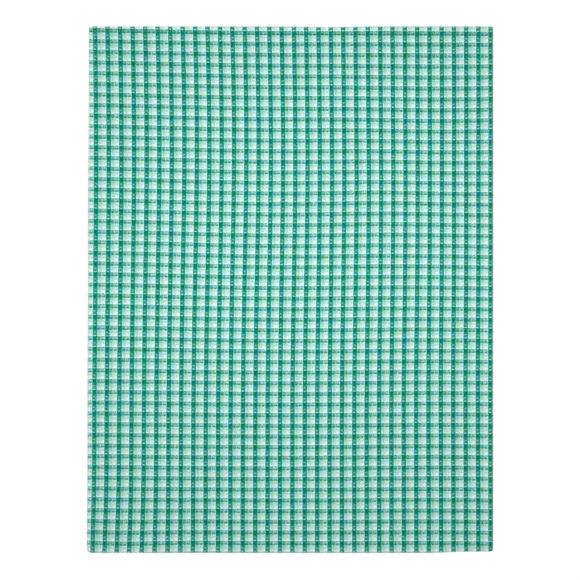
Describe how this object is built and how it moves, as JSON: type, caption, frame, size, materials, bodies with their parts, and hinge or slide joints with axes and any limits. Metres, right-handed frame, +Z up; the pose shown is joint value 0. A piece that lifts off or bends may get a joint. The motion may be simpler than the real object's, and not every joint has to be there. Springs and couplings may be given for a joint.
{
  "type": "tea towel",
  "caption": "Rectangular cotton tea towel in a green and white checked waffle weave, laid flat, with narrow turned hems on every side.",
  "frame": {"origin": "middle of the flat underside, on the surface that the towel lies on", "axes": "+X across the width, +Y along the length, +Z up out of the face of the cloth"},
  "size_m": [0.501, 0.65, 0.0029],
  "materials": {
    "checked_cotton": "matte woven"
  },
  "bodies": {
    "root": {"towel_cloth": "checked_cotton"}
  },
  "joints": []
}
